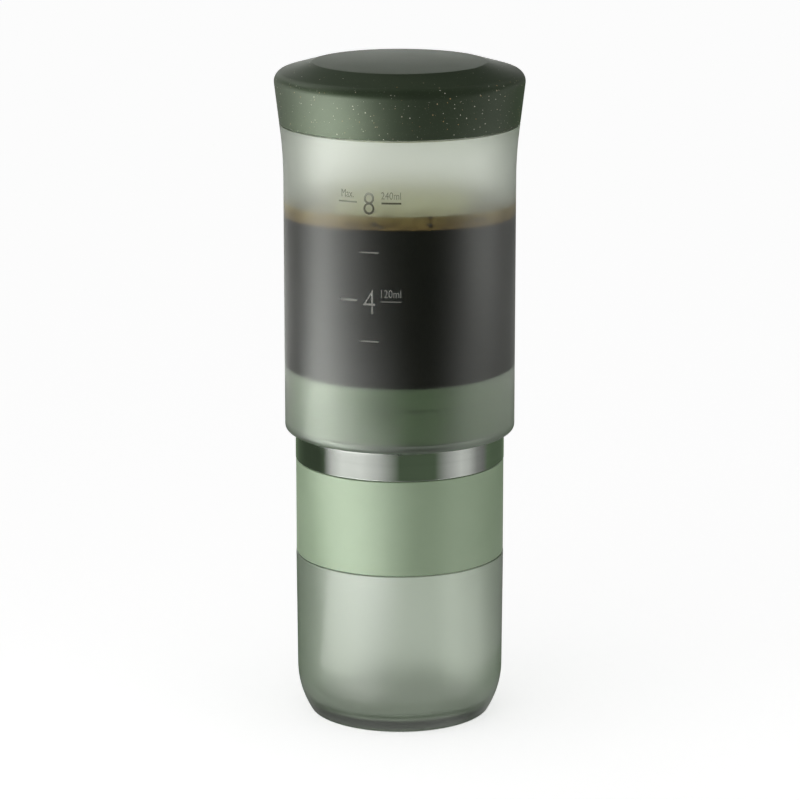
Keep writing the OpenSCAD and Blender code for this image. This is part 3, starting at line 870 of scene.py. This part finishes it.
for ink, turn, height, length, thick in markShape["bars"]:
    bpy.ops.object.select_all(action="DESELECT")
    bpy.ops.mesh.primitive_plane_add(size=mm)
    part = bpy.context.object
    part.scale = (length, thick, 1)
    part.rotation_euler = (math.pi / 2, 0, 0)
    part.location = (0, 0, height * mm)
    bpy.ops.object.transform_apply(location=True, rotation=True, scale=True)
    layMark(part, turn)
    dress(part, inks[ink])
    markParts.append(part)
marks = joinPieces(markParts, "chamber_marks")
wrap = marks.modifiers.new("wrap", "SHRINKWRAP")
wrap.target = chamber
wrap.wrap_method = "NEAREST_SURFACEPOINT"
wrap.wrap_mode = "ABOVE_SURFACE"
wrap.offset = markShape["lift"] * mm
inkWall = marks.modifiers.new("ink", "SOLIDIFY")
inkWall.thickness = markShape["ink"] * mm
inkWall.offset = 1
applyAll(marks)
bpy.ops.object.mode_set(mode="EDIT")
bpy.ops.mesh.select_all(action="SELECT")
bpy.ops.mesh.normals_make_consistent(inside=False)
bpy.ops.object.mode_set(mode="OBJECT")
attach(marks, "chamber")
print("marks made")

# the CAD nodes that stay in view get the finish of their material; the piston body and filter cap take the
# sage plastic darkened by painted shade
keptNodes = {
    "head_core": sagePlastic, "drain_nut": sagePlastic, "piston_body": shadedSagePlastic, "filter_cap": shadedSagePlastic,
    "lid_liner": palePlastic, "filter_disc": filterSteel,
}
keptNodes.update(dict.fromkeys(
    ("neck_gasket", "stem_seal", "flow_valve", "filter_gasket", "lid_seal"), paleSilicone,
))
for nodeName, finish in keptNodes.items():
    dress(nodes[nodeName], finish)
print("kept nodes dressed:", len(keptNodes))

# studio: white floor and world, a soft lamp on each side, and a tent for reflections and frosted walls
studio = {
    "ambient": 0.48, "floorGlow": 0.58, "floorTint": 0.82,
    "floorRadius": 6, "floorDrop": 0.02, "floorSteps": 96,
    "lights": [  # name, turn from the camera's side, half angle, radius, top, radiance
        ("soft_left", -45.0, 42.0, 0.22, 0.40, 0.28), ("soft_right", 70.0, 26.0, 0.22, 0.34, 0.1),
    ],
    "tentPeak": 40.0, "tentFront": 100, "tentSteps": 48,
    "dim": 0.2, "white": (0.985, 1.0, 0.955), "shade": (0.86, 1.18, 0.74),
    # name, inner and outer edge (radius, height), what the walls show (True: its front), level at some turns
    "tent": [
        # painted shadow: these dark discs under the cup, seen through its base and in reflections, stand in
        # for the floor's shadow beneath it
        ("tent_under", (0.001, -0.00001), (0.019, -0.00001), "all", [(-178, 0.55), (178, 0.55)]),
        ("tent_ring", (0.019, -0.00001), (0.0272, -0.00001), "all", [(-178, 0.4), (178, 0.4)]),
        # painted shade: these rings round the cup's foot, seen only in reflections, are dark where the floor
        # lies in the cup's shadow; their brighter sectors are reflectors
        ("tent_edge", (0.0275, 0.0005), (0.0305, 0.0005), False, [(-178, 0.1), (178, 0.1)]),
        ("tent_foot", (0.0305, 0.0005), (0.036, 0.0005), False, [
            (-130, 0.3), (-84, 0.3), (-60, 0.3), (-20, 1.1), (30, 1.1), (52, 0.35), (72, 0.4), (112, 0.4),
        ]),
        ("tent_toe", (0.036, 0.0005), (0.050, 0.0005), False, [
            (-130, 0.2), (-76, 0.2), (-60, 0.4), (-32, 0.5), (-8, 0.2), (40, 0.3), (60, 0.4), (90, 0.25),
        ]),
        ("tent_base", (0.050, 0.0005), (0.085, 0.0005), False, [
            (-130, 0.1), (-71, 0.06), (-55, 1.4), (-32, 2.5), (-8, 0.8), (36, 0.8), (52, 1.5), (68, 0.9),
            (84, 0.1),
        ]),
        ("tent_floor", (0.085, 0.0005), (0.22, 0.0005), True, [
            (-130, 0.12), (-86, 0.12), (-80, 3.2), (-64, 3.2), (-44, 2.9), (-28, 1.5), (-8, 0.4),
            (36, 0.45), (52, 1.6), (86, 1.7), (104, 0.6), (130, 0.2),
        ]),
        ("tent_low", (0.22, 0.006), (0.22, 0.024), False, [
            (-125, 0.3), (-92, 0.3), (-72, 10.0), (-52, 21.0), (-34, 28.0), (-18, 22.0), (6, 0.5),
            (36, 0.3), (50, 6.5), (70, 1.8), (86, 0.1),
        ]),
        ("tent_middle", (0.22, 0.024), (0.22, 0.0495), "all", [
            (-178, 0.19), (-152, 0.17), (-138, 0.11), (-120, 0.08), (-92, 0.08), (-86, 0.13), (-78, 0.75),
            (-74, 1.0), (-62, 1.4), (-40, 1.35), (-22, 0.9), (0, 0.14), (36, 0.15), (50, 0.6), (66, 1.0),
            (76, 0.85), (88, 0.4), (98, 0.27), (106, 0.19), (114, 0.16), (132, 0.14), (145, 0.13),
            (158, 0.19), (178, 0.19),
        ]),
        ("tent_piston", (0.22, 0.0495), (0.22, 0.064), "all", [
            (-150, 0.2), (-118, 0.2), (-106, 1.2), (-94, 13.0), (-76, 18.0), (-58, 16.5), (-46, 10.5),
            (-34, 4.0), (-14, 0.2), (30, 0.05), (52, 0.6), (66, 2.6), (80, 2.5), (92, 0.3), (104, 0.05),
        ]),
        ("tent_high", (0.22, 0.064), (0.22, 0.112), True, [
            (-150, 1.0), (-130, 0.8), (-108, 0.6), (-94, 3.2), (-76, 6.4), (-56, 2.6), (-36, 0.6),
            (-14, 0.03), (38, 0.05), (64, 1.0), (90, 1.5), (106, 0.8), (135, 0.35), (165, 0.5),
        ]),
        ("tent_foam", (0.22, 0.112), (0.22, 0.146), True, [
            (-150, 0.8), (-130, 0.6), (-108, 0.6), (-94, 2.8), (-76, 6.8), (-56, 3.6), (-36, 1.2),
            (-14, 0.1), (38, 0.05), (56, 0.7), (72, 3.0), (92, 2.6), (106, 0.8), (135, 0.3), (165, 0.3),
        ]),
        ("tent_upper", (0.22, 0.146), (0.22, 0.22), False, [
            (-150, 0.4), (-130, 0.4), (-108, 0.5), (-94, 1.2), (-76, 2.0), (-56, 1.0), (-36, 0.5),
            (-14, 0.1), (38, 0.05), (64, 0.9), (90, 1.2), (106, 0.75), (135, 0.3), (165, 0.2),
        ]),
        ("tent_crown", (0.22, 0.22), (0.22, 0.305), False, [
            (-178, 0.1), (-155, 0.2), (-130, 0.9), (-108, 3.8), (-88, 0.4), (-60, 0.06), (60, 0.05),
            (90, 0.1), (108, 1.8), (130, 0.3), (178, 0.1),
        ]),
        ("tent_brow", (0.085, 0.221), (0.085, 0.232), False, [
            (-178, 4.6), (-160, 4.4), (-148, 1.3), (-126, 1.1), (-112, 0.1), (112, 0.05), (132, 0.5),
            (146, 0.7), (160, 4.2), (178, 4.6),
        ]),
        ("tent_wings", (0.085, 0.232), (0.085, 0.246), False, [
            (-178, 0.1), (-160, 0.1), (-148, 1.3), (-126, 1.1), (-112, 0.1), (112, 0.05), (132, 0.5),
            (146, 0.7), (160, 0.1), (178, 0.1),
        ]),
        ("tent_dome", (0.22, 0.305), (0.205, 0.39), False, [
            (-178, 0.06), (-160, 0.15), (-140, 0.4), (-122, 1.5), (-106, 3.4), (-92, 1.0), (-76, 0.06),
            (0, 0.03), (92, 0.1), (106, 1.0), (122, 0.5), (140, 0.06), (178, 0.04),
        ]),
        ("tent_sky", (0.205, 0.39), (0.16, 0.64), False, [
            (-178, 0.1), (-160, 0.2), (-140, 0.5), (-118, 1.4), (-100, 0.8), (-76, 0.06), (0, 0.03),
            (100, 0.06), (118, 0.4), (140, 0.2), (178, 0.1),
        ]),
        ("tent_cap", (0.16, 0.64), (0.001, 0.64), False, [(-178, 0.15), (178, 0.15)]),
        ("tent_lid", (0.06, 0.188), (0.06, 0.214), False, [
            (-120, 0.3), (-100, 0.4), (-80, 1.2), (-66, 3.5), (-55, 6.1), (-45, 6.9), (-36, 6.0),
            (-28, 4.4), (-20, 2.1), (-12, 0.8), (-4, 0.15), (3, 0.05), (17, 0.02), (33, 0.1), (51, 0.5),
            (75, 0.6), (93, 0.18),
        ]),
    ],
}


for name, turn, half, radius, top, radiance in studio["lights"]:
    width = 2 * radius * math.sin(math.radians(half))
    away = radius * math.cos(math.radians(half))
    t = math.radians(turn)
    light = bpy.data.lights.new(name, "AREA")
    light.shape = "RECTANGLE"
    light.size = width
    light.size_y = top
    light.energy = radiance * math.pi * width * top
    light.spread = math.pi
    lamp = bpy.data.objects.new(name, light)
    bpy.context.scene.collection.objects.link(lamp)
    lamp.location = (away * math.sin(t), -away * math.cos(t), top / 2)
    lamp.rotation_euler = (math.pi / 2, 0, t)
    lamp.visible_camera = lamp.visible_glossy = lamp.visible_transmission = False


def onlyReflected(thing, seenThrough):
    thing.visible_camera = thing.visible_diffuse = thing.visible_shadow = False
    thing.visible_transmission = seenThrough


def tentCloth(name, levels):
    material, tree, shader = newFinish(name)
    mapping = addNode(tree, "ShaderNodeMapping", Rotation=(0, 0, math.pi / 2))
    around = addNode(tree, "ShaderNodeTexGradient", gradient_type="RADIAL")
    tree.links.new(placeOf(tree), mapping.inputs["Vector"])
    tree.links.new(mapping.outputs["Vector"], around.inputs["Vector"])
    ramp = addNode(tree, "ShaderNodeValToRGB")
    tree.links.new(around.outputs["Fac"], ramp.inputs["Fac"])
    stops = ramp.color_ramp.elements
    while len(stops) < len(levels):
        stops.new(1.0)
    for stop, (turn, level) in zip(stops, levels):
        tint = studio["shade"] if level < studio["dim"] else studio["white"]
        stop.position = (turn + 180) / 360
        stop.color = (*(level / studio["tentPeak"] * part for part in tint), 1)
    tree.links.new(ramp.outputs["Color"], shader.inputs["Emission Color"])
    shader.inputs["Emission Strength"].default_value = studio["tentPeak"]
    shader.inputs["Base Color"].default_value = (0, 0, 0, 1)
    shader.inputs["Specular IOR Level"].default_value = 0.0
    return material


def pitchTent(name, inner, outer, throughWalls, levels):
    # an edge is spun into a front and a back sector, so that the walls can show the front one alone
    cloth = tentCloth(name, levels)
    front = studio["tentFront"]
    for part, start, end in (("front", -front, front), ("back", front, 360 - front)):
        sector = addPoint(name + "_" + part)
        t = math.radians(start)
        bpy.ops.transform.translate(value=(inner[0] * math.sin(t), -inner[0] * math.cos(t), inner[1]))
        across = outer[0] - inner[0]
        step = (across * math.sin(t), -across * math.cos(t), outer[1] - inner[1])
        bpy.ops.mesh.extrude_vertices_move(TRANSFORM_OT_translate={"value": step})
        bpy.ops.mesh.select_all(action="SELECT")
        swing = -math.radians(end - start)
        bpy.ops.mesh.spin(steps=studio["tentSteps"], angle=swing, center=(0, 0, 0), axis=(0, 0, 1))
        bpy.ops.object.mode_set(mode="OBJECT")
        dress(sector, cloth)
        onlyReflected(sector, throughWalls == "all" or throughWalls and part == "front")


for row in studio["tent"]:
    pitchTent(*row)


def whenSeen(tree):
    # one for what the camera sees, straight, in a reflection or through a wall
    path = addNode(tree, "ShaderNodeLightPath").outputs
    mirrored = reckon(tree, "MAXIMUM", path["Is Camera Ray"], path["Is Glossy Ray"])
    return reckon(tree, "MAXIMUM", mirrored, path["Is Transmission Ray"])


floorFinish, tree, shader = newFinish("studio_floor")
shader.inputs["Base Color"].default_value = (studio["floorTint"],) * 3 + (1,)
shader.inputs["Roughness"].default_value = 1.0
shader.inputs["Specular IOR Level"].default_value = 0.0
shader.inputs["Emission Color"].default_value = (1, 1, 1, 1)
glow = reckon(tree, "MULTIPLY", whenSeen(tree), studio["floorGlow"])
tree.links.new(glow, shader.inputs["Emission Strength"])
bpy.ops.object.select_all(action="DESELECT")
bpy.ops.mesh.primitive_circle_add(
    vertices=studio["floorSteps"], radius=studio["floorRadius"], fill_type="NGON",
)
floor = bpy.context.object
floor.name = "floor"
floor.location = (0, 0, -studio["floorDrop"] * mm)
dress(floor, floorFinish)

world = bpy.data.worlds.new("studio")
bpy.context.scene.world = world
world.use_nodes = True
tree = world.node_tree
sky = tree.nodes["Background"]
sky.inputs["Color"].default_value = (1, 1, 1, 1)
level = spread(tree, whenSeen(tree), studio["ambient"], 1.0)
tree.links.new(level, sky.inputs["Strength"])

# camera as in the photograph: long lens, looking down a little
view = {
    "lens": 160.875, "sensor": 36, "pitch": 13.76, "distance": 1.1905, "aim": 0.10623, "shift": 0.0003,
    "near": 0.05, "far": 50,
}
lensData = bpy.data.cameras.new("camera")
lensData.lens = view["lens"]
lensData.sensor_width = view["sensor"]
lensData.clip_start = view["near"]
lensData.clip_end = view["far"]
camera = bpy.data.objects.new("camera", lensData)
bpy.context.scene.collection.objects.link(camera)
pitch = math.radians(view["pitch"])
camera.location = (0, -view["distance"] * math.cos(pitch), view["aim"] + view["distance"] * math.sin(pitch))
camera.rotation_euler = (math.pi / 2 - pitch, 0, 0)
lensData.shift_x = view["shift"]
bpy.context.scene.camera = camera
bpy.context.scene.view_settings.view_transform = "Standard"
print("studio made")
